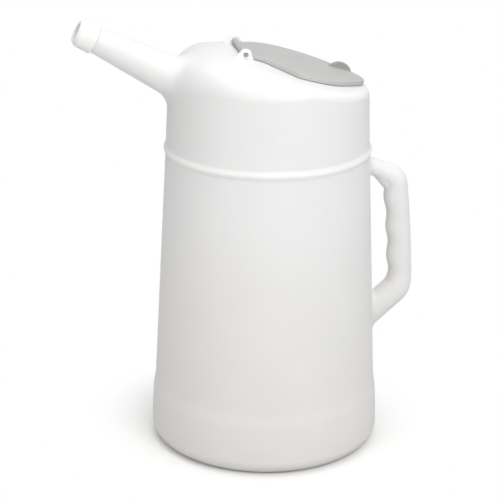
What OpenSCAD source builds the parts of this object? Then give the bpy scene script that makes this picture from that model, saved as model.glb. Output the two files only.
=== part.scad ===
// Five-litre pouring jug, blow moulded in one piece with its spout and handle,
// with a hinged lid over the filling mouth.
// Origin: centre of the standing face. +Z up, spout towards -X, handle towards +X.

/* [Body] */
// Widest diameter, just above the base
heel_d = 177.6; // [150:0.2:220]
// Diameter just above the heel band
waist_d = 172; // [140:0.2:175]
// Diameter under the ring bead
ring_d = 154.8; // [130:0.2:200]
// Diameter at the shoulder
shoulder_d = 150.6; // [125:0.2:195]
// Height of the ring bead
ring_z = 235; // [160:1:320]
// Thickness of the moulded wall
wall = 2; // [1:0.1:3.5]
// Radius of the rounding around the base
base_round = 12; // [6:1:20]
// Taper of the heel band's radius, over its own height
heel_draw = 1; // [0:0.1:3]
// Height of the heel band
heel_h = 38; // [24:1:60]
// Height over which the wall draws in above the heel band
heel_blend = 14; // [8:1:30]
// Rise of the middle of the base above the standing ring
base_rise = 3; // [1:0.5:8]
// Width of the standing ring
foot_w = 18; // [8:1:30]
// Radius of the ring bead's section
bead_r = 2.8; // [2:0.1:5]
// How far the ring bead stands out from the wall
bead_out = 1.5; // [0.5:0.1:2]

/* [Top] */
// Height of the crest above the ring bead
crest_rise = 76.5; // [60:0.5:110]
// Height of the inclined seat above the ring bead, on the body's axis
seat_rise = 67.5; // [50:0.5:100]
// Slope of the seat under the lid, down towards the handle
seat_slope = 16; // [6:0.5:20]
// Radius of the crown across the crest
crown_r = 200; // [120:5:400]
// Radius of the crest's fall towards the spout
fall_r = 42; // [30:1:80]
// Distance from the axis at which that fall begins
fall_x = 40; // [20:1:55]
// Edge rounding of the shoulder on the spout side
round_spout = 12; // [6:0.5:16]
// Edge rounding of the shoulder on the handle side
round_handle = 4; // [3:0.5:10]

/* [Spout] */
// Length of the spout from the shoulder wall to its mouth
spout_len = 76.5; // [40:0.5:120]
// Rise of the spout above level
spout_angle = 27.5; // [10:0.5:45]
// Depth of the spout's axis below the crest, at the shoulder wall
spout_drop = 18; // [12:1:24]
// Outer diameter of the spout at the shoulder wall
spout_root_d = 30.2; // [24:0.2:38]
// Outer diameter of the spout at its mouth
spout_tip_d = 16.6; // [14:0.2:26]
// Outer diameter of the collar around the mouth
collar_d = 22.6; // [20:0.2:32]
// Length of the collar
collar_len = 15; // [8:0.5:25]
// Taper of the collar's radius towards the mouth
collar_taper = 0.7; // [0:0.1:1.5]
// Chamfer at the front of the collar
collar_chamfer = 2.6; // [1:0.1:3]
// Length of the flare where the underside of the spout meets the wall
flare_len = 24; // [22:0.5:28]
// How far the flare's axis drops along its length
flare_drop = 4.4; // [2:0.2:5]

/* [Handle] */
// Height of the grip's upper end below the ring bead
grip_drop = 29.5; // [22:0.5:60]
// Height of the grip
grip_h = 79.5; // [70:0.5:110]
// Distance of the grip's upper end from the wall under the ring bead
grip_out = 24; // [20:0.5:45]
// How much further out the grip's lower end stands
grip_lean = 6.6; // [0:0.1:16]
// How far the middle of the grip bows outwards
grip_bow = 1.1; // [0:0.1:5]
// Diameter of the grip
grip_d = 18; // [14:0.2:26]
// Diameter of the upper arm where it leaves the wall
top_arm_d = 11.4; // [10:0.2:18]
// Rise of the upper arm from the grip to the wall
top_arm_rise = 12.5; // [6:0.5:18]
// Diameter of the lower arm
low_arm_d = 21.4; // [16:0.2:26]
// Drop from the grip to the lower corner
low_corner_drop = 11; // [8:0.5:20]
// How far in the lower corner lies from the lower end of the grip
low_corner_in = 1.9; // [0:0.1:5]
// Drop of the lower arm from the corner to the wall
low_arm_drop = 19.5; // [12:0.5:30]
// Spacing of the three finger swells
finger_pitch = 24; // [18:0.5:26]
// How far a finger swell stands out towards the body
finger_swell = 1.5; // [0.5:0.1:3]

/* [Lid] */
// Distance of the hinge from the body's axis, towards the spout
hinge_back = 22; // [14:0.5:26]
// Length of the lid from the hinge axis to its tip
lid_len = 98; // [94:0.5:100]
// Width of the lid
lid_w = 90; // [80:0.5:96]
// Radius of the lid's tip
lid_tip_r = 23; // [15:0.5:32]
// Width of the lid's strap at the hinge
strap_w = 42; // [34:0.5:46]
// Offset of the strap from the middle line, to the side of the finger tab
strap_side = 4; // [0:0.5:6]
// Length of the strap's free edge, on the side away from the tab
strap_len = 14.5; // [10:0.5:18]
// Height of the lid over its turned-down rim
lid_h = 3.2; // [2.6:0.1:5]
// Thickness of the lid's plate
plate_t = 1.8; // [1.2:0.1:2.4]
// Width of the turned-down rim
rim_w = 1.6; // [1:0.1:3]
// Gap between the closed lid and its seat
seat_gap = 0.3; // [0.1:0.05:0.6]
// Diameter of the filling mouth
mouth_d = 71; // [60:1:72]
// Length of the finger tab
tab_len = 19; // [12:0.5:24]
// Height of the finger tab
tab_h = 6; // [4:0.5:9]
// Thickness of the finger tab
tab_t = 2.4; // [1.6:0.1:4]
// Distance of the tab's middle from the lid's tip
tab_inset = 16.5; // [12:0.5:24]
// Offset of the tab from the lid's middle line
tab_side = 12; // [0:0.5:14]

/* [Hinge] */
// Diameter of the hinge pin
pin_d = 2.4; // [2:0.1:3]
// Radial running clearance of the lid on the pin
pin_clear = 0.05; // [0.02:0.01:0.1]
// Diameter of the lid's knuckle
knuckle_d = 4.8; // [4.4:0.1:5]
// Depth of the hinge axis below the top of the lid
pivot_drop = 0.8; // [0:0.1:0.8]
// Diameter of the rounded head of a hinge ear
ear_d = 8.8; // [7:0.1:12]
// Thickness of a hinge ear
ear_t = 3; // [2:0.1:5]
// Width of a hinge ear at its foot
ear_foot_w = 14; // [12:0.5:20]
// Gap between the strap and each ear
ear_gap = 0.35; // [0.2:0.05:0.8]

/* [Hidden] */
$fn = 96;

plastic = [0.93, 0.93, 0.92];
lid_grey = [0.66, 0.66, 0.65];
pin_grey = [0.55, 0.55, 0.55];

heel_r = heel_d / 2;
waist_r = waist_d / 2;
ring_r = ring_d / 2;
shoulder_r = shoulder_d / 2;
crest_z = ring_z + crest_rise;
seat_z = ring_z + seat_rise;
waist_z = heel_h + heel_blend;

// Small overlap that joins solids, and the reach of a cutting block
join = 0.2;
far_out = 2 * heel_d;

// The cap starts inside the ring bead, a little narrower than the wall there
cap_sunk = 1.5;
cap_z = ring_z - cap_sunk;
cap_inset = 0.25;
cap_foot = 1;
cap_step = 7.5;
ball_fn = 20;

arc_step = 15;
outline_step = 6;
ease_steps = 6;
ridge_step = 12;

// Points of an arc in a plane
function arc(x, y, r, from, to, step) =
    let (n = max(2, ceil(abs(to - from) / step)))
    [for (i = [0 : n]) let (a = from + (to - from) * i / n) [x + r * cos(a), y + r * sin(a)]];

// Radius of the wall's outside at a height above the heel band
function wall_r(z) = waist_r + (ring_r - waist_r) * (z - waist_z) / (ring_z - waist_z);

// Half of the lower body's section: inset 0 is the outside, inset wall the inside
function body_half(inset) = concat(
    [[0, base_rise + inset],
     [heel_r - base_round - foot_w, base_rise + inset],
     [heel_r - base_round - foot_w + 2 * base_rise, inset]],
    arc(heel_r - base_round, base_round, base_round - inset, -90, 0, arc_step),
    [for (i = [0 : ease_steps])
        let (t = i / ease_steps, ease = (1 - cos(180 * t)) / 2, top = heel_r - heel_draw)
        [top + (waist_r - top) * ease - inset, heel_h + heel_blend * t]],
    [[ring_r - inset, ring_z], [0, ring_z]]
);

// Height of the top surface: a crown across X that falls away towards the spout
function seat_height(x) = seat_z - tan(seat_slope) * x;
function crown_height(x, y) =
    let (beyond = max(0, -x - fall_x))
    crest_z - y * y / (2 * crown_r) - beyond * beyond / (2 * fall_r);
function top_height(x, y) = min(seat_height(x), crown_height(x, y));

// Rounding of the shoulder at an angle around the axis, 0 at the handle
function shoulder_round(a) = round_handle + (round_spout - round_handle) * (1 - cos(a)) / 2;

// Frame of the seat: X along the lid, Z square to the seat, origin under the hinge axis
module on_seat() {
    translate([-hinge_back, 0, seat_height(-hinge_back)])
        rotate([0, seat_slope, 0])
            children();
}

// Everything above the seat's plane, raised or lowered along its normal
module above_seat(lift) {
    on_seat()
        translate([-far_out, -far_out, lift])
            cube([2 * far_out, 2 * far_out, far_out]);
}

// Upper body from the ring bead to the rounded, partly inclined top
module cap(inset) {
    difference() {
        hull() {
            translate([0, 0, cap_z])
                cylinder(r = ring_r - cap_inset - inset, h = cap_foot);
            for (a = [0 : cap_step : 360 - cap_step]) {
                r = shoulder_round(a);
                x = (shoulder_r - r) * cos(a);
                y = (shoulder_r - r) * sin(a);
                translate([x, y, top_height(x, y) - r])
                    sphere(r = r - inset, $fn = ball_fn);
            }
            for (x = [-fall_x - ridge_step, -fall_x, -fall_x / 2, 0])
                translate([x, 0, top_height(x, 0) - round_spout])
                    sphere(r = round_spout - inset, $fn = ball_fn);
        }
        above_seat(-inset);
    }
}

// Frame of the spout: Z along its axis, origin where the axis meets the shoulder wall
module on_spout() {
    translate([-shoulder_r, 0, crest_z - spout_drop])
        rotate([0, spout_angle - 90, 0])
            children();
}

// Radius of the spout's cone at a distance from the shoulder wall
function spout_r(s) = (spout_root_d + (spout_tip_d - spout_root_d) * s / spout_len) / 2;
spout_buried = 14;

// Distances from the shoulder wall between which the flare lies, and how far its
// upper side stays inside the spout
flare_front = 6;
flare_back = flare_front - flare_len;
flare_sunk = 0.5;

module spout(inset) {
    reach = spout_buried + spout_len + (inset > 0 ? join : 0);
    on_spout() {
        translate([0, 0, -spout_buried])
            cylinder(r1 = spout_r(-spout_buried) - inset, r2 = spout_r(spout_len) - inset, h = reach);
        translate([-flare_drop, 0, flare_back])
            rotate([0, atan2(flare_drop, flare_len), 0])
                cylinder(r1 = spout_r(flare_back) + flare_drop - flare_sunk - inset,
                         r2 = spout_r(flare_front) - flare_sunk - inset,
                         h = norm([flare_drop, flare_len]));
    }
}

// Collar around the mouth, tapering to a chamfered front
module collar() {
    back_r = collar_d / 2;
    front_r = back_r - collar_taper;
    on_spout()
        rotate_extrude()
            polygon([
                [0, spout_len - collar_len],
                [back_r, spout_len - collar_len],
                [front_r, spout_len - collar_chamfer],
                [front_r - collar_chamfer, spout_len],
                [0, spout_len]
            ]);
}

// Points of the handle's centre line, with the radius at each
grip_top_z = ring_z - grip_drop;
grip_x = ring_r + grip_out;
grip_low_z = grip_top_z - grip_h;
grip_low_x = grip_x + grip_lean;
grip_mid_x = grip_x + grip_lean / 2 + grip_bow;
corner_z = grip_low_z - low_corner_drop;
corner_x = grip_low_x - low_corner_in;
top_root_z = grip_top_z + top_arm_rise;
low_root_z = corner_z - low_arm_drop;
root_sink = 16;
// A ball at each bend stands this much proud of the rods that it joins
ball_proud = 0.25;
// A finger swell is this much wider than the grip
swell_wide = 0.4;

grip_top = [grip_x, grip_top_z, grip_d / 2];
corner = [corner_x, corner_z, low_arm_d / 2];
top_root = [wall_r(top_root_z), top_root_z, top_arm_d / 2];
low_root = [wall_r(low_root_z), low_root_z, low_arm_d / 2];

// The line from one point to the next, carried on past the second, no thinner
// there than its hollow allows
root_bore = 1;
function beyond(p, q, d) =
    let (far = q + (q - p) * d / norm([q[0] - p[0], q[1] - p[1]]))
    [far[0], far[1], max(far[2], wall + root_bore)];

handle_line = [
    beyond(grip_top, top_root, root_sink),
    grip_top,
    [grip_mid_x, grip_top_z - grip_h / 2, grip_d / 2],
    [grip_low_x, grip_low_z, grip_d / 2],
    corner,
    beyond(corner, low_root, root_sink)
];

// A round rod from one point of the centre line to the next
module rod(p, q, inset) {
    dx = q[0] - p[0];
    dz = q[1] - p[1];
    translate([p[0], 0, p[1]])
        rotate([0, atan2(dx, dz), 0])
            cylinder(r1 = p[2] - inset, r2 = q[2] - inset, h = norm([dx, dz]));
}

module handle(inset) {
    for (i = [0 : len(handle_line) - 2])
        rod(handle_line[i], handle_line[i + 1], inset);
    for (i = [1 : len(handle_line) - 2])
        translate([handle_line[i][0], 0, handle_line[i][1]])
            sphere(r = handle_line[i][2] + ball_proud - inset);
}

// Three swells between the fingers, on the side of the grip that faces the body
module finger_swells() {
    swell_r = grip_d / 2 + swell_wide;
    for (i = [-1 : 1]) {
        z = grip_top_z - grip_h / 2 + i * finger_pitch;
        t = (grip_top_z - z) / grip_h;
        x = grip_x + grip_lean * t + grip_bow * (1 - abs(2 * t - 1));
        translate([x - finger_swell + swell_wide, 0, z])
            sphere(r = swell_r);
    }
}

// Lid outline in its own plane, X from the hinge axis to the tip
lid_r = lid_w / 2;
lid_u = lid_r - 1;
lid_tip_u = lid_len - lid_tip_r;
// Direction, from the middle line, of the tangent points of the two arcs
lid_tangent = acos((lid_r - lid_tip_r) / (lid_tip_u - lid_u));
// Directions in which the round part begins: beside the tab, where the lid spreads
// behind the hinge ear, and on the other side, where it is cut back
spread_angle = 119;
cut_angle = 100;
spread_u = 8.5;
spread_v = 31;
tab_edge = strap_w / 2 + strap_side;
free_edge = strap_w / 2 - strap_side;
// The mouth's circle lies nearer the tip than the lid's
mouth_shift = 6;

// One side of the outline from the hinge to the tip, after the points of its strap
function lid_side(strap, angle, inset) = concat(
    strap,
    arc(lid_u, 0, lid_r - inset, angle, lid_tangent, outline_step),
    arc(lid_tip_u, 0, lid_tip_r - inset, lid_tangent, 0, outline_step)
);

module lid_outline(inset) {
    tab_strap = [
        [inset, tab_edge - inset],
        [spread_u + inset, tab_edge - inset],
        [spread_u + inset, spread_v - inset]
    ];
    free_strap = [[inset, free_edge - inset], [strap_len, free_edge - inset]];
    tab_side_line = lid_side(tab_strap, spread_angle, inset);
    free_side_line = lid_side(free_strap, cut_angle, inset);
    last = len(free_side_line) - 1;
    polygon(concat(
        tab_side_line,
        [for (i = [last - 1 : -1 : 0]) [free_side_line[i][0], -free_side_line[i][1]]]
    ));
}

// Heights above the seat
lid_top = seat_gap + lid_h;
pivot_h = lid_top - pivot_drop;
knuckle_r = knuckle_d / 2;

ear_inner = strap_w / 2 + ear_gap;

// Round filling mouth, cut square to the seat
module mouth() {
    depth = 4 * wall;
    on_seat()
        translate([lid_u + mouth_shift, 0, -depth])
            cylinder(d = mouth_d, h = 2 * depth);
}

// A hinge ear, a flat lug with a round head on a wider foot sunk into the seat
ear_flank = 20;
ear_root = 1.2;
ear_sunk = wall + ear_root;

module ear(side) {
    ear_r = ear_d / 2;
    flank_x = ear_r * cos(ear_flank);
    flank_z = pivot_h + ear_r * sin(ear_flank);
    on_seat()
        translate([0, strap_side + side * (ear_inner + ear_t / 2), 0])
            rotate([90, 0, 0]) {
                translate([0, pivot_h, -ear_t / 2])
                    cylinder(r = ear_r, h = ear_t);
                translate([0, 0, -ear_t / 2])
                    linear_extrude(ear_t)
                        polygon([
                            [-ear_foot_w / 2, -ear_sunk],
                            [ear_foot_w / 2, -ear_sunk],
                            [ear_foot_w / 2, -join],
                            [flank_x, flank_z],
                            [-flank_x, flank_z],
                            [-ear_foot_w / 2, -join]
                        ]);
            }
}

module on_pivot() {
    on_seat()
        translate([0, strap_side, pivot_h])
            rotate([90, 0, 0])
                children();
}

module bead() {
    rotate_extrude()
        translate([ring_r + bead_out - bead_r, ring_z])
            circle(r = bead_r);
}

module jug_body() {
    color(plastic)
        difference() {
            union() {
                rotate_extrude()
                    polygon(body_half(0));
                cap(0);
                bead();
                spout(0);
                collar();
                handle(0);
                finger_swells();
                ear(-1);
                ear(1);
            }
            rotate_extrude()
                polygon(body_half(wall));
            cap(wall);
            spout(wall);
            handle(wall);
            mouth();
            on_pivot()
                cylinder(d = pin_d, h = far_out, center = true);
        }
}

module lid() {
    tab_r = (tab_len * tab_len / 4 + tab_h * tab_h) / (2 * tab_h);
    color(lid_grey)
        difference() {
            union() {
                on_seat() {
                    translate([0, 0, lid_top - plate_t])
                        linear_extrude(plate_t)
                            lid_outline(0);
                    translate([0, 0, seat_gap])
                        linear_extrude(lid_h - join)
                            difference() {
                                lid_outline(0);
                                lid_outline(rim_w);
                            }
                    translate([lid_len - tab_inset, tab_side, lid_top])
                        intersection() {
                            translate([0, tab_t / 2, tab_h - tab_r])
                                rotate([90, 0, 0])
                                    cylinder(r = tab_r, h = tab_t);
                            translate([-tab_len, -tab_t, -join])
                                cube([2 * tab_len, 2 * tab_t, 2 * tab_h]);
                        }
                }
                on_pivot()
                    cylinder(r = knuckle_r, h = strap_w, center = true);
            }
            on_pivot()
                cylinder(r = pin_d / 2 + pin_clear, h = far_out, center = true);
        }
}

module hinge_pin() {
    color(pin_grey)
        on_pivot()
            cylinder(d = pin_d, h = 2 * (ear_inner + ear_t), center = true);
}

jug_body();
lid();
hinge_pin();
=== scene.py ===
import math

import bpy
import numpy as np
from mathutils import Matrix, Vector


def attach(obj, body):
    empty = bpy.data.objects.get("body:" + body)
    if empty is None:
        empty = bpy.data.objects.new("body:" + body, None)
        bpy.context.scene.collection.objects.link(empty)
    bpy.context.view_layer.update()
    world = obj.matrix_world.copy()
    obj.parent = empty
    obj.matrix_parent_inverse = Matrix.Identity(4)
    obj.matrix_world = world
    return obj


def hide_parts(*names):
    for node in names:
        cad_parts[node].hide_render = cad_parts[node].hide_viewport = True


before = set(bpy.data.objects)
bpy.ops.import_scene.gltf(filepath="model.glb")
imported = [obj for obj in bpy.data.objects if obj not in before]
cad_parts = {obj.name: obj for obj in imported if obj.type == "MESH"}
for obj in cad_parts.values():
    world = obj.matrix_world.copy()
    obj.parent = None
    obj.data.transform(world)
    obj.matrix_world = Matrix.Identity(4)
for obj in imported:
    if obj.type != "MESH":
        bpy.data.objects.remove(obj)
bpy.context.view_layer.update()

# Lengths below are in millimetres, in the part's own frame, until a mesh is made.
MM = 0.001

# Body
HEEL_R, HEEL_FLAT_Z, HEEL_TOP_R, HEEL_TOP_Z = 88.8, 20.0, 87.8, 38.0
WAIST_R, WAIST_Z = 86.0, 52.0
RING_R, RING_Z = 77.4, 235.0
SHOULDER_R, SHOULDER_Z = 75.3, 290.0
WALL = 2.0
BASE_ROUND, BASE_RISE, BASE_FLAT_R, FOOT_IN_R = 12.0, 3.0, 58.8, 64.8
BEAD_R, BEAD_OUT, BEAD_FILLET = 2.8, 1.5, 1.5
# Pinch-off rib across the middle of the base
PINCH_HALF_T, PINCH_HALF_LEN, PINCH_HALF_H = 0.9, 42.0, 1.0
# The wall's table runs over these heights, softened over this distance
TABLE_LOW, TABLE_HIGH, TABLE_STEP, TOP_R, CORNER_SOFT, SOFT_STEPS = -40, 380, 0.25, 71.9, 1.6, 20

# Top
CREST_Z, SEAT_Z, CROWN_R, FALL_R, FALL_X = 311.5, 302.5, 200.0, 42.0, 40.0
SLOPE = math.radians(16)
ROUND_SPOUT, ROUND_HANDLE, CREASE = 12.0, 4.0, 2.5
HINGE_X = -22.0
HINGE_Z = SEAT_Z - math.tan(SLOPE) * HINGE_X

# Spout
SPOUT_X, SPOUT_Z, SPOUT_LEN = -75.3, 293.5, 76.5
SPOUT_RISE = math.radians(27.5)
SPOUT_ROOT_R, SPOUT_TIP_R, SPOUT_BURIED, SPOUT_FILLET = 15.1, 8.3, 14.0, 8.5
# Towards its mouth the spout's bore widens a little, and its core runs on past the mouth
BORE_WIDER, BORE_FROM, BORE_OVER, CORE_RUN_ON = 0.7, 50, 24, 20
COLLAR_LEN, COLLAR_BACK_R, COLLAR_FRONT_R, COLLAR_CHAMFER = 15.0, 11.3, 10.6, 2.6

# Lid and hinge, in the frame of the seat
SEAT_GAP, LID_TOP, PLATE_T, RIM_W = 0.3, 3.5, 1.8, 1.6
LID_R, LID_U, TIP_R, TIP_U = 45.0, 44.0, 23.0, 75.0
STRAP_W, STRAP_V, STRAP_LEN = 42.0, 4.0, 14.5
CUT_ANGLE, SPREAD_ANGLE, SPREAD_U, SPREAD_V = 100, 119, 8.5, 31.0
PIVOT_W, KNUCKLE_R, PIN_R = 2.7, 2.4, 1.2
EAR_R, EAR_T, EAR_IN, EAR_FOOT, EAR_SUNK = 4.4, 3.0, 21.35, 7.0, 3.2
# The ear's straight flank meets its round head at this angle and starts this far under the seat
FLANK_TOUCH, FLANK_DEEP = math.radians(20), 0.2
EAR_EDGE, EAR_HOLE_GAP, KNUCKLE_HOLE_GAP = 0.7, 0.35, 0.15
MOUTH_U, MOUTH_R = 50.0, 35.5
TAB_U, TAB_V, TAB_H, TAB_T, TAB_LEN, TAB_SUNK = 81.5, 12.0, 6.0, 2.4, 19.0, 0.5

# Radii of small edges and fillets, from the sharpest to the softest
BORE_EDGE, SHARP_EDGE, INNER_EDGE, PLATE_EDGE = 0.1, 0.25, 0.3, 0.4
SMALL_EDGE, PLATE_TOP_EDGE, TAB_EDGE = 0.5, 0.6, 0.7
CHAMFER_EDGE, EAR_FILLET, HANDLE_FILLET = 0.8, 1.2, 5.0


def round_max(a, b, r):
    """Intersection of two solids, its edge rounded to radius r."""
    p, q = a + r, b + r
    return np.minimum(np.maximum(p, q), 0) + np.hypot(np.maximum(p, 0), np.maximum(q, 0)) - r


def round_min(a, b, r):
    """Union of two solids, with a fillet of radius r between them."""
    return np.maximum(r, np.minimum(a, b)) - np.hypot(np.maximum(r - a, 0), np.maximum(r - b, 0))


def smooth_max(a, b, k):
    return np.maximum(a, b) + np.maximum(k - np.abs(a - b), 0) ** 2 / (4 * k)


def ease(t):
    t = np.clip(t, 0, 1)
    return t * t * (3 - 2 * t)


def wall_table():
    """Radius of the wall's outside at each height, its corners softened."""
    z = np.arange(TABLE_LOW, TABLE_HIGH, TABLE_STEP)
    r = np.interp(z, [0, HEEL_FLAT_Z, HEEL_TOP_Z], [HEEL_R, HEEL_R, HEEL_TOP_R])
    heights = [WAIST_Z, RING_Z, SHOULDER_Z, TABLE_HIGH]
    upper = np.interp(z, heights, [WAIST_R, RING_R, SHOULDER_R, TOP_R])
    r = r + (upper - r) * ease((z - HEEL_TOP_Z) / (WAIST_Z - HEEL_TOP_Z))
    away = np.arange(-SOFT_STEPS, SOFT_STEPS + 1) * TABLE_STEP
    kernel = np.exp(-0.5 * (away / CORNER_SOFT) ** 2)
    padded = np.pad(r, SOFT_STEPS, mode="edge")
    return z, np.convolve(padded, kernel / kernel.sum(), mode="valid")


WALL_Z, WALL_R = wall_table()


def to_seat(x, y, z):
    """u along the lid from the hinge, v across, w square to the seat."""
    dx, dz = x - HINGE_X, z - HINGE_Z
    return (
        dx * math.cos(SLOPE) - dz * math.sin(SLOPE),
        y,
        dx * math.sin(SLOPE) + dz * math.cos(SLOPE),
    )


def to_spout(x, y, z):
    """s along the spout from the shoulder wall, up across it in the middle plane, and rho from its axis."""
    dx, dz = x - SPOUT_X, z - SPOUT_Z
    s = -dx * math.cos(SPOUT_RISE) + dz * math.sin(SPOUT_RISE)
    up = dx * math.sin(SPOUT_RISE) + dz * math.cos(SPOUT_RISE)
    return s, up, np.hypot(up, y)


# Centre line of the handle: x, z and radius, with the distance over which each corner is rounded
HANDLE = [
    (64.1, 225.6, 3.7, 0),
    (101.4, 205.5, 9.0, 6),
    (105.8, 165.75, 9.0, 20),
    (108.0, 126.0, 9.2, 5),
    (106.1, 115.0, 10.7, 5),
    (71.9, 84.9, 10.7, 0),
]
# Web that thickens the inside of the upper corner, from one end to the other
WEB = [(88.0, 212.1, 6.4), (98.4, 199.7, 6.4)]
SWELL_Z, SWELL_PITCH, SWELL = 165.75, 24.0, 1.5
# A swell turns towards the body with this power, and the three fade out over this height
SWELL_POWER, SWELL_FADE = 1.5, 6
# Nothing of the handle lies nearer to the body's axis than this
HANDLE_FROM_X = 55
BEND_POINTS = 7


def handle_path():
    """The centre line with each corner replaced by a short curve."""
    points = np.array(HANDLE)
    out = [points[0, :3]]
    for i in range(1, len(points) - 1):
        before, here, after = points[i - 1, :3], points[i, :3], points[i + 1, :3]
        cut = points[i, 3]
        a = here + (before - here) * cut / np.linalg.norm((before - here)[:2])
        b = here + (after - here) * cut / np.linalg.norm((after - here)[:2])
        for t in np.linspace(0, 1, BEND_POINTS):
            out.append((1 - t) ** 2 * a + 2 * t * (1 - t) * here + t * t * b)
    out.append(points[-1, :3])
    return np.array(out)


HANDLE_PATH = handle_path()


def handle_field(x, y, z):
    """Round rod along the handle's centre line, with three swells that face the body."""
    best = np.full(x.shape, 1e3)
    cx, cz = np.zeros_like(x), np.zeros_like(x)
    rods = list(zip(HANDLE_PATH[:-1], HANDLE_PATH[1:])) + [np.array(WEB)]
    for p, q in rods:
        d = q[:2] - p[:2]
        t = np.clip(((x - p[0]) * d[0] + (z - p[1]) * d[1]) / (d @ d), 0, 1)
        px, pz = p[0] + t * d[0], p[1] + t * d[1]
        f = np.sqrt((x - px) ** 2 + y * y + (z - pz) ** 2) - (p[2] + t * (q[2] - p[2]))
        near = f < best
        best = np.where(near, f, best)
        cx, cz = np.where(near, px, cx), np.where(near, pz, cz)
    away = np.sqrt((x - cx) ** 2 + y * y + (z - cz) ** 2) + 1e-6
    inward = np.clip((cx - x) / away, 0, 1) ** SWELL_POWER
    span = np.clip(1.5 * SWELL_PITCH - np.abs(cz - SWELL_Z), 0, SWELL_FADE) / SWELL_FADE
    wave = 0.5 + 0.5 * np.cos(2 * math.pi * (cz - SWELL_Z) / SWELL_PITCH)
    return best - SWELL * inward * span * wave


def core_field(x, y, z, open_end):
    """The moulding without its bead, collar and ears. With open_end the spout runs on past its mouth."""
    r = np.hypot(x, y)
    side = r - np.interp(z, WALL_Z, WALL_R)
    under = BASE_RISE * ease((FOOT_IN_R - r) / (FOOT_IN_R - BASE_FLAT_R)) - z
    f = round_max(side, under, BASE_ROUND)
    seat = (z - SEAT_Z + math.tan(SLOPE) * x) * math.cos(SLOPE)
    beyond = np.maximum(0, -FALL_X - x)
    steep = np.sqrt(1 + (y / CROWN_R) ** 2 + (beyond / FALL_R) ** 2)
    crown = (z - CREST_Z + y * y / (2 * CROWN_R) + beyond**2 / (2 * FALL_R)) / steep
    top = smooth_max(seat, crown, CREASE)
    edge = ROUND_HANDLE + (ROUND_SPOUT - ROUND_HANDLE) * (1 - x / np.maximum(r, 1)) / 2
    f = round_max(f, top, edge)

    s, up, rho = to_spout(x, y, z)
    taper = (SPOUT_TIP_R - SPOUT_ROOT_R) / SPOUT_LEN
    cone = (rho - SPOUT_ROOT_R - taper * s) / math.hypot(1, taper)
    if open_end:
        cone = cone + BORE_WIDER * ease((s - BORE_FROM) / BORE_OVER)
    cone = np.maximum(cone, -SPOUT_BURIED - s)
    cone = np.maximum(cone, s - SPOUT_LEN - (CORE_RUN_ON if open_end else 0))
    f = round_min(f, cone, SPOUT_FILLET)

    near = x > HANDLE_FROM_X
    if near.any():
        hx, hy, hz = x[near], y[near], z[near]
        f[near] = round_min(f[near], handle_field(hx, hy, hz), HANDLE_FILLET)
    return f


def ear_field(u, v, w):
    """Two flat lugs with round heads, bored for the hinge pin."""
    head = np.hypot(u, w - PIVOT_W) - EAR_R
    touch_u = EAR_R * math.cos(FLANK_TOUCH)
    touch_w = PIVOT_W + EAR_R * math.sin(FLANK_TOUCH)
    run, lift = EAR_FOOT - touch_u, touch_w + FLANK_DEEP
    flank = ((np.abs(u) - EAR_FOOT) * lift + (w + FLANK_DEEP) * run) / math.hypot(run, lift)
    foot = np.maximum(np.maximum(flank, w - touch_w), -EAR_SUNK - w)
    foot = np.maximum(foot, np.abs(u) - EAR_FOOT)
    slab = np.abs(np.abs(v - STRAP_V) - EAR_IN - EAR_T / 2) - EAR_T / 2
    lug = round_max(np.minimum(head, foot), slab, EAR_EDGE)
    return round_max(lug, PIN_R + EAR_HOLE_GAP - np.hypot(u, w - PIVOT_W), SHARP_EDGE)


def collar_field(x, y, z):
    """The thicker collar at the spout's tip, chamfered at its front."""
    s, _, rho = to_spout(x, y, z)
    back, front = SPOUT_LEN - COLLAR_LEN, SPOUT_LEN - COLLAR_CHAMFER
    outside = COLLAR_BACK_R + (COLLAR_FRONT_R - COLLAR_BACK_R) * (s - back) / (front - back)
    barrel = round_max(rho - outside, back - s, SMALL_EDGE)
    chamfer = ((s - front) + (rho - COLLAR_FRONT_R)) * math.sqrt(0.5)
    return round_max(round_max(barrel, chamfer, CHAMFER_EDGE), s - SPOUT_LEN, PLATE_EDGE)


def body_field(p):
    """The whole blow moulding: its outside, less its hollow and its filling mouth."""
    x, y, z = p[:, 0], p[:, 1], p[:, 2]
    outer = core_field(x, y, z, False)
    bead = np.hypot(np.hypot(x, y) - RING_R - BEAD_OUT + BEAD_R, z - RING_Z) - BEAD_R
    outer = round_min(outer, bead, BEAD_FILLET)
    outer = round_min(outer, collar_field(x, y, z), SMALL_EDGE)
    u, v, w = to_seat(x, y, z)
    outer = round_min(outer, ear_field(u, v, w), EAR_FILLET)
    pinch = np.maximum(np.abs(y) - PINCH_HALF_T, np.abs(x) - PINCH_HALF_LEN)
    pinch = round_max(pinch, np.abs(z - BASE_RISE) - PINCH_HALF_H, SMALL_EDGE)
    outer = round_min(outer, pinch, PLATE_TOP_EDGE)
    inner = core_field(x, y, z, True) + WALL
    mouth = np.maximum(np.hypot(u - MOUTH_U, v) - MOUTH_R, np.abs(w) - 4 * WALL)
    f = round_max(outer, -inner, INNER_EDGE)
    return round_max(f, -mouth, SMALL_EDGE)


def neck_line(u, a, start_u, start_v, angle):
    """Distance outside the line from a point to the round part's edge at an angle."""
    turn = math.radians(angle)
    run, climb = LID_U + LID_R * math.cos(turn) - start_u, LID_R * math.sin(turn) - start_v
    return ((a - start_v) * run - (u - start_u) * climb) / math.hypot(run, climb)


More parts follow.
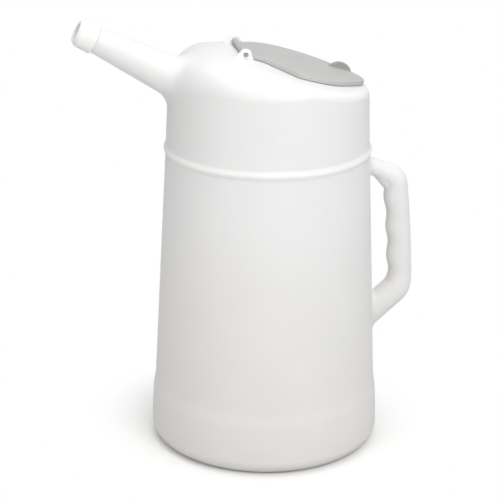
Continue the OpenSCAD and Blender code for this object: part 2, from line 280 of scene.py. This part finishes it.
def lid_outline(u, v):
    """Distance from the lid's outline in its own plane: two circles with their tangents, and a strap."""
    a = np.abs(v)
    lean = (LID_R - TIP_R) / (TIP_U - LID_U)
    rise = math.sqrt(1 - lean * lean)
    across = (u - LID_U) * lean + a * rise - LID_R
    along = (u - LID_U) * rise - a * lean
    length = (TIP_U - LID_U) * rise
    big, tip = np.hypot(u - LID_U, a) - LID_R, np.hypot(u - TIP_U, a) - TIP_R
    rounded = np.where(along < 0, big, np.where(along > length, tip, across))
    free = neck_line(u, a, STRAP_LEN, STRAP_W / 2 - STRAP_V, CUT_ANGLE)
    spread = np.maximum(neck_line(u, a, SPREAD_U, SPREAD_V, SPREAD_ANGLE), SPREAD_U - u)
    strap = np.maximum(np.maximum(np.abs(v - STRAP_V) - STRAP_W / 2, -u), u - LID_U)
    return np.minimum(strap, np.maximum(rounded, np.where(v < 0, free, spread)))


def lid_field(p):
    """The lid: a plate with a rim under it, the hinge knuckle and the finger tab."""
    u, v, w = to_seat(p[:, 0], p[:, 1], p[:, 2])
    outline = lid_outline(u, v)
    plate = round_max(outline, w - LID_TOP, PLATE_TOP_EDGE)
    plate = round_max(plate, SEAT_GAP - w, PLATE_EDGE)
    hollow = np.maximum(outline + RIM_W, w - LID_TOP + PLATE_T)
    f = round_max(plate, -hollow, INNER_EDGE)
    away = np.hypot(u, w - PIVOT_W)
    knuckle = round_max(away - KNUCKLE_R, np.abs(v - STRAP_V) - STRAP_W / 2, INNER_EDGE)
    f = round_min(f, knuckle, PLATE_TOP_EDGE)
    f = round_max(f, PIN_R + KNUCKLE_HOLE_GAP - away, BORE_EDGE)
    tab_r = (TAB_LEN**2 / 4 + TAB_H**2) / (2 * TAB_H)
    tab = np.hypot(u - TAB_U, w - LID_TOP - TAB_H + tab_r) - tab_r
    tab = np.maximum(tab, LID_TOP - TAB_SUNK - w)
    tab = round_max(tab, np.abs(v - TAB_V) - TAB_T / 2, TAB_EDGE)
    return round_min(f, tab, SMALL_EDGE)


# Grid cells along one side of a block, and points worked out at a time
BLOCK = 8
SLICE = 400000
# A block is kept if its centre lies within its half diagonal of the surface, with this much in hand
HALF_DIAGONAL, FIELD_SLACK, SPARE = 0.87, 1.25, 1.0


def field_values(field, points):
    """The field at many points, worked out in slices to keep memory small."""
    out = np.empty(len(points))
    for i in range(0, len(points), SLICE):
        out[i : i + SLICE] = field(points[i : i + SLICE])
    return out


def gradient(field, points, h=0.08):
    """Unit normal of the field, and its length, from four corners of a tetrahedron."""
    total = np.zeros_like(points)
    for k in ((1, -1, -1), (-1, -1, 1), (-1, 1, -1), (1, 1, 1)):
        k = np.array(k, float)
        total += field_values(field, points + k * h)[:, None] * k
    total /= 4 * h
    size = np.linalg.norm(total, axis=1) + 1e-9
    return total / size[:, None], size


def settle(field, points, limit, rounds=3):
    """Moves points on to the surface, none further than the limit in all."""
    start = points.copy()
    for _ in range(rounds):
        n, size = gradient(field, points)
        step = np.clip(field_values(field, points) / np.maximum(size, 0.3), -limit, limit)
        points = points - n * step[:, None]
    move = points - start
    far = np.linalg.norm(move, axis=1)
    return start + move * np.minimum(1, limit / np.maximum(far, 1e-9))[:, None]


def surface_net(field, low, high, h):
    """Quads around the zero surface of a field, one vertex in each grid cell that it crosses."""
    low, high = np.array(low, float), np.array(high, float)
    blocks = np.ceil((high - low) / (h * BLOCK)).astype(int)
    cells = blocks * BLOCK
    index = np.stack(np.meshgrid(*[np.arange(n) for n in blocks], indexing="ij"), -1).reshape(-1, 3)
    centres = low + (index + 0.5) * h * BLOCK
    reach = h * BLOCK * HALF_DIAGONAL * FIELD_SLACK + SPARE
    keep = np.abs(field_values(field, centres)) < reach
    index = index[keep]
    ticks = np.arange(BLOCK + 1)
    corner = np.stack(np.meshgrid(ticks, ticks, ticks, indexing="ij"), -1)
    places = (index[:, None, None, None, :] * BLOCK + corner[None]).astype(np.int64)
    values = field_values(field, (low + places.reshape(-1, 3) * h)).reshape(places.shape[:4])
    inside = values < 0
    n = BLOCK
    crossed = np.zeros((len(index), n, n, n), bool)
    first = inside[:, :n, :n, :n]
    for i, j, k in ((0, 0, 1), (0, 1, 0), (0, 1, 1), (1, 0, 0), (1, 0, 1), (1, 1, 0), (1, 1, 1)):
        crossed |= inside[:, i : i + n, j : j + n, k : k + n] != first
    b, ci, cj, ck = np.nonzero(crossed)
    total, count = np.zeros((len(b), 3)), np.zeros(len(b))
    offsets = [(i, j, k) for i in (0, 1) for j in (0, 1) for k in (0, 1)]
    for axis in range(3):
        for o in offsets:
            if o[axis]:
                continue
            e = list(o)
            e[axis] = 1
            fa = values[b, ci + o[0], cj + o[1], ck + o[2]]
            fb = values[b, ci + e[0], cj + e[1], ck + e[2]]
            cut = (fa < 0) != (fb < 0)
            t = np.where(cut, fa / np.where(fa == fb, 1, fa - fb), 0)
            at = np.array(o, float)[None] + np.eye(3)[axis][None] * t[:, None]
            total += at * cut[:, None]
            count += cut
    cell = index[b] * BLOCK + np.stack([ci, cj, ck], -1)
    points = low + (cell + total / count[:, None]) * h
    key = (cell[:, 0] * cells[1] + cell[:, 1]) * cells[2] + cell[:, 2]
    order = np.argsort(key)
    points, key = points[order], key[order]

    faces = []
    for axis in range(3):
        one = [0, 0, 0]
        one[axis] = 1
        other = inside[:, one[0] : one[0] + n, one[1] : one[1] + n, one[2] : one[2] + n]
        b, ci, cj, ck = np.nonzero(first != other)
        at = index[b] * BLOCK + np.stack([ci, cj, ck], -1)
        p, q = [a for a in range(3) if a != axis]
        quad = []
        for dp, dq in ((0, 0), (-1, 0), (-1, -1), (0, -1)):
            c = at.copy()
            c[:, p] += dp
            c[:, q] += dq
            k = (c[:, 0] * cells[1] + c[:, 1]) * cells[2] + c[:, 2]
            quad.append(np.searchsorted(key, k))
        quad = np.stack(quad, -1)
        flip = first[b, ci, cj, ck] if axis == 1 else ~first[b, ci, cj, ck]
        quad[flip] = quad[flip][:, ::-1]
        faces.append(quad)
    return points, np.concatenate(faces)


def mesh_from(name, points, faces):
    """A mesh in metres from points in millimetres."""
    mesh = bpy.data.meshes.new(name)
    mesh.vertices.add(len(points))
    mesh.vertices.foreach_set("co", (points * MM).astype(np.float32).ravel())
    mesh.loops.add(faces.size)
    mesh.loops.foreach_set("vertex_index", faces.astype(np.int32).ravel())
    mesh.polygons.add(len(faces))
    mesh.polygons.foreach_set("loop_start", np.arange(0, faces.size, faces.shape[1], dtype=np.int32))
    mesh.update(calc_edges=True)
    mesh.validate()
    return mesh


def points_of(mesh):
    co = np.empty(len(mesh.vertices) * 3, np.float32)
    mesh.vertices.foreach_get("co", co)
    return co.reshape(-1, 3).astype(float) / MM


def build_piece(name, field, low, high, h, triangles):
    """A field's surface as a mesh of about that many triangles, with the field's own normals."""
    points, quads = surface_net(field, low, high, h)
    points = settle(field, points, h * 0.6)
    mesh = mesh_from(name, points, quads)
    obj = bpy.data.objects.new(name, mesh)
    bpy.context.scene.collection.objects.link(obj)
    ratio = triangles / (2 * len(quads))
    if ratio < 1:
        cut = obj.modifiers.new("fewer", "DECIMATE")
        cut.ratio = ratio
        graph = bpy.context.evaluated_depsgraph_get()
        fewer = bpy.data.meshes.new_from_object(obj.evaluated_get(graph))
        obj.modifiers.clear()
        obj.data = fewer
        obj.data.name = name
        bpy.data.meshes.remove(mesh)
    mesh = obj.data
    points = settle(field, points_of(mesh), h * 0.5)
    mesh.vertices.foreach_set("co", (points * MM).astype(np.float32).ravel())
    normals, _ = gradient(field, points)
    mesh.update()
    mesh.shade_smooth()
    mesh.normals_split_custom_set_from_vertices(normals)
    return obj


body_grid = 0.95
body_box = (-160, -94, -3), (126, 94, 342)
body = build_piece("body_shell", body_field, *body_box, body_grid, 190000)
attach(body, "jug")
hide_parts("jug_body")

lid_grid = 0.5
lid_box = (-28, -48, 276), (80, 48, 318)
lid = build_piece("lid_flap", lid_field, *lid_box, lid_grid, 90000)
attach(lid, "lid")
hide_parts("lid")

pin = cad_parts["hinge_pin"]


def new_material(name):
    material = bpy.data.materials.new(name)
    material.use_nodes = True
    tree = material.node_tree
    return material, tree, tree.nodes["Principled BSDF"]


def node(tree, kind, **values):
    made = tree.nodes.new(kind)
    for key, value in values.items():
        if key in made.inputs:
            made.inputs[key].default_value = value
        else:
            setattr(made, key, value)
    return made


def noise(tree, scale, detail, rough=0.5):
    where = node(tree, "ShaderNodeTexCoord")
    made = node(tree, "ShaderNodeTexNoise", Scale=scale, Detail=detail, Roughness=rough)
    tree.links.new(where.outputs["Object"], made.inputs["Vector"])
    return made.outputs["Fac"]


def ramp(tree, value, stops):
    made = node(tree, "ShaderNodeValToRGB")
    tree.links.new(value, made.inputs["Fac"])
    line = made.color_ramp
    while len(line.elements) < len(stops):
        line.elements.new(0.5)
    for element, (place, colour) in zip(line.elements, stops):
        element.position = place
        element.color = (*colour, 1) if len(colour) == 3 else colour
    return made.outputs["Color"]


def bump(tree, height, strength, distance, below=None):
    made = node(tree, "ShaderNodeBump", Strength=strength, Distance=distance)
    tree.links.new(height, made.inputs["Height"])
    if below is not None:
        tree.links.new(below, made.inputs["Normal"])
    return made.outputs["Normal"]


# Heights in metres between which painted shade makes the milky colour darker and warmer towards the heel,
# and the tint of that shade
SHADE_BELOW_FROM, SHADE_BELOW_FULL, SHADE_BELOW_TINT = 0.20, 0.03, (0.925, 0.915, 0.895, 1)


def painted_shade_below(tree, colour):
    """The colour with painted shade, a little darker and warmer towards the heel."""
    where = node(tree, "ShaderNodeTexCoord")
    along = node(tree, "ShaderNodeSeparateXYZ")
    tree.links.new(where.outputs["Object"], along.inputs[0])
    low = node(tree, "ShaderNodeMapRange")
    tree.links.new(along.outputs["Z"], low.inputs["Value"])
    low.inputs["From Min"].default_value = SHADE_BELOW_FROM
    low.inputs["From Max"].default_value = SHADE_BELOW_FULL
    heel_shaded = node(tree, "ShaderNodeMixRGB", blend_type="MULTIPLY", Color2=SHADE_BELOW_TINT)
    tree.links.new(low.outputs["Result"], heel_shaded.inputs["Fac"])
    tree.links.new(colour, heel_shaded.inputs["Color1"])
    return heel_shaded.outputs["Color"]


def natural_plastic():
    """Milky polyethylene: satin, a little light passing through it, a faintly uneven wall."""
    material, tree, shader = new_material("natural_plastic")
    colour = ramp(tree, noise(tree, 9, 3), [(0.3, (0.81, 0.80, 0.785)), (0.7, (0.85, 0.84, 0.828))])
    # Painted shade: the body's colour darkens and warms towards the heel
    tree.links.new(painted_shade_below(tree, colour), shader.inputs["Base Color"])
    rough = ramp(tree, noise(tree, 60, 4), [(0.3, (0.40,) * 3), (0.7, (0.48,) * 3)])
    tree.links.new(rough, shader.inputs["Roughness"])
    shader.inputs["Subsurface Weight"].default_value = 0.6
    shader.inputs["Subsurface Radius"].default_value = (1.0, 0.95, 0.85)
    shader.inputs["Subsurface Scale"].default_value = 0.006
    shader.inputs["Specular IOR Level"].default_value = 0.4
    fine = bump(tree, noise(tree, 900, 2), 0.05, 0.0004)
    wide = bump(tree, noise(tree, 22, 2), 0.12, 0.002, fine)
    tree.links.new(wide, shader.inputs["Normal"])
    return material


# The tab starts this far along from the jug's axis, and its painted shade sets in over these heights, in
# metres
TAB_FROM_X = 0.03
PAINTED_SHADE_FROM, PAINTED_SHADE_FULL = 0.1 * MM, 1.2 * MM
# Warmth of the painted shade on the tab
PAINTED_SHADE_BLUE = 0.985


def painted_shade_above_lid(tree, colour, shade):
    """The colour, darkened by painted shade where the surface stands above the lid's top."""
    where = node(tree, "ShaderNodeTexCoord")
    height = node(tree, "ShaderNodeVectorMath", operation="DOT_PRODUCT")
    tree.links.new(where.outputs["Object"], height.inputs[0])
    height.inputs[1].default_value = (math.sin(SLOPE), 0, math.cos(SLOPE))
    top = (HINGE_X * math.sin(SLOPE) + HINGE_Z * math.cos(SLOPE) + LID_TOP) * MM
    side = node(tree, "ShaderNodeMapRange")
    tree.links.new(height.outputs["Value"], side.inputs["Value"])
    side.inputs["From Min"].default_value = top + PAINTED_SHADE_FROM
    side.inputs["From Max"].default_value = top + PAINTED_SHADE_FULL
    along = node(tree, "ShaderNodeSeparateXYZ")
    tree.links.new(where.outputs["Object"], along.inputs[0])
    far = node(tree, "ShaderNodeMath", operation="GREATER_THAN")
    tree.links.new(along.outputs["X"], far.inputs[0])
    far.inputs[1].default_value = TAB_FROM_X
    both = node(tree, "ShaderNodeMath", operation="MULTIPLY")
    tree.links.new(side.outputs["Result"], both.inputs[0])
    tree.links.new(far.outputs["Value"], both.inputs[1])
    tint = (shade, shade, shade * PAINTED_SHADE_BLUE, 1)
    darker = node(tree, "ShaderNodeMixRGB", blend_type="MULTIPLY", Color2=tint)
    tree.links.new(both.outputs["Value"], darker.inputs["Fac"])
    tree.links.new(colour, darker.inputs["Color1"])
    return darker.outputs["Color"]


def grey_plastic(name, low, high, tab_painted_shade=None):
    """Satin moulded plastic between two greys, with painted shade on the tab if a shade is given."""
    material, tree, shader = new_material(name)
    colour = ramp(tree, noise(tree, 40, 3), [(0.3, low), (0.7, high)])
    if tab_painted_shade is not None:
        colour = painted_shade_above_lid(tree, colour, tab_painted_shade)
    tree.links.new(colour, shader.inputs["Base Color"])
    rough = ramp(tree, noise(tree, 160, 4), [(0.3, (0.42,) * 3), (0.7, (0.52,) * 3)])
    tree.links.new(rough, shader.inputs["Roughness"])
    shader.inputs["Specular IOR Level"].default_value = 0.4
    tree.links.new(bump(tree, noise(tree, 1400, 3), 0.15, 0.0003), shader.inputs["Normal"])
    return material


def dress(obj, material):
    obj.data.materials.clear()
    obj.data.materials.append(material)


dress(body, natural_plastic())
# The lid's tab gets painted shade, 0.68 of its colour
dress(lid, grey_plastic("grey_plastic", (0.445, 0.445, 0.44), (0.48, 0.48, 0.475), 0.68))
dress(pin, grey_plastic("pin_plastic", (0.30, 0.30, 0.30), (0.36, 0.36, 0.36)))


# Distances from the jug's axis, in metres, over which the shaded floor turns plain white
FADE_FROM, FADE_TO = 0.085, 0.16
# The floor as the camera sees it, and as it lights the jug
FLOOR_SEEN, FLOOR_BOUNCE = 0.93, 0.62
FLOOR_HALF = 6.0
SKY = 0.64


def white_room():
    """White floor that keeps the shadow near the jug and is plain white further off."""
    material, tree, shader = new_material("floor_white")
    shader.inputs["Roughness"].default_value = 0.9
    shader.inputs["Specular IOR Level"].default_value = 0.0
    plain = node(tree, "ShaderNodeEmission", Strength=1.0)
    seen = node(tree, "ShaderNodeLightPath")
    stops = [(0.0, (FLOOR_BOUNCE,) * 3), (1.0, (FLOOR_SEEN,) * 3)]
    colour = ramp(tree, seen.outputs["Is Camera Ray"], stops)
    tree.links.new(colour, shader.inputs["Base Color"])
    where = node(tree, "ShaderNodeTexCoord")
    away = node(tree, "ShaderNodeVectorMath", operation="LENGTH")
    tree.links.new(where.outputs["Object"], away.inputs[0])
    fade = node(tree, "ShaderNodeMapRange", interpolation_type="SMOOTHERSTEP")
    tree.links.new(away.outputs["Value"], fade.inputs["Value"])
    fade.inputs["From Min"].default_value = FADE_FROM
    fade.inputs["From Max"].default_value = FADE_TO
    both = node(tree, "ShaderNodeMath", operation="MULTIPLY")
    tree.links.new(seen.outputs["Is Camera Ray"], both.inputs[0])
    tree.links.new(fade.outputs["Result"], both.inputs[1])
    mix = node(tree, "ShaderNodeMixShader")
    tree.links.new(both.outputs["Value"], mix.inputs["Fac"])
    tree.links.new(shader.outputs["BSDF"], mix.inputs[1])
    tree.links.new(plain.outputs["Emission"], mix.inputs[2])
    tree.links.new(mix.outputs["Shader"], tree.nodes["Material Output"].inputs["Surface"])
    mesh = bpy.data.meshes.new("floor")
    corners = [(-1, -1), (1, -1), (1, 1), (-1, 1)]
    mesh.from_pydata([(x * FLOOR_HALF, y * FLOOR_HALF, 0) for x, y in corners], [], [(0, 1, 2, 3)])
    floor = bpy.data.objects.new("floor", mesh)
    bpy.context.scene.collection.objects.link(floor)
    floor.data.materials.append(material)

    world = bpy.data.worlds.new("world")
    bpy.context.scene.world = world
    world.use_nodes = True
    tree = world.node_tree
    tree.nodes.clear()
    seen = node(tree, "ShaderNodeLightPath")
    light = node(tree, "ShaderNodeBackground", Color=(1, 1, 1, 1), Strength=SKY)
    white = node(tree, "ShaderNodeBackground", Color=(1, 1, 1, 1), Strength=1.0)
    mix = node(tree, "ShaderNodeMixShader")
    out = node(tree, "ShaderNodeOutputWorld")
    tree.links.new(seen.outputs["Is Camera Ray"], mix.inputs["Fac"])
    tree.links.new(light.outputs["Background"], mix.inputs[1])
    tree.links.new(white.outputs["Background"], mix.inputs[2])
    tree.links.new(mix.outputs["Shader"], out.inputs["Surface"])


def area_light(name, place, target, size, watts, colour=(1, 1, 1)):
    """A rectangular lamp at a place, turned to its target."""
    data = bpy.data.lights.new(name, "AREA")
    data.shape = "RECTANGLE"
    data.size, data.size_y = size
    data.energy = watts
    data.color = colour
    lamp = bpy.data.objects.new(name, data)
    bpy.context.scene.collection.objects.link(lamp)
    lamp.location = place
    lamp.rotation_mode = "QUATERNION"
    lamp.rotation_quaternion = (Vector(target) - Vector(place)).to_track_quat("-Z", "Y")


white_room()
# Lamps: place and target in metres, size, and watts
area_light("key", (0.16, -0.85, 0.80), (0, 0, 0.22), (0.7, 0.7), 5.6)
area_light("top", (0.0, 0.1, 1.7), (0, 0, 0.15), (1.2, 1.2), 9)
area_light("fill", (-0.60, -0.55, 0.24), (-0.08, 0, 0.26), (0.5, 0.5), 0.62, (1, 0.95, 0.88))


# The photograph's camera: the jug is turned 11 degrees, and the view looks 20 degrees down
TURN, PITCH, ROLL = math.radians(11), 0.34872, 0.011
PLACE = (-0.01255, -1.3, 0.623619)
SENSOR, PICTURE, FOCAL_PIXELS = 36.0, 500, 1784.337


def set_camera():
    """Places the camera in front of the turned jug. PLACE is given before the turn."""
    data = bpy.data.cameras.new("camera")
    camera = bpy.data.objects.new("camera", data)
    bpy.context.scene.collection.objects.link(camera)
    data.sensor_width = SENSOR
    data.lens = FOCAL_PIXELS / PICTURE * SENSOR
    data.clip_start, data.clip_end = 0.05, 20
    x, y, z = PLACE
    ca, sa = math.cos(TURN), math.sin(TURN)
    place = Vector((x * ca + y * sa, -x * sa + y * ca, z))
    forward = Vector((math.cos(PITCH) * sa, math.cos(PITCH) * ca, -math.sin(PITCH)))
    level = Vector((ca, -sa, 0))
    upright = level.cross(forward)
    right = math.cos(ROLL) * level + math.sin(ROLL) * upright
    up = -math.sin(ROLL) * level + math.cos(ROLL) * upright
    turned = Matrix((right, up, -forward)).transposed().to_4x4()
    camera.matrix_world = Matrix.Translation(place) @ turned
    bpy.context.scene.camera = camera


set_camera()
bpy.context.scene.view_settings.view_transform = "Standard"
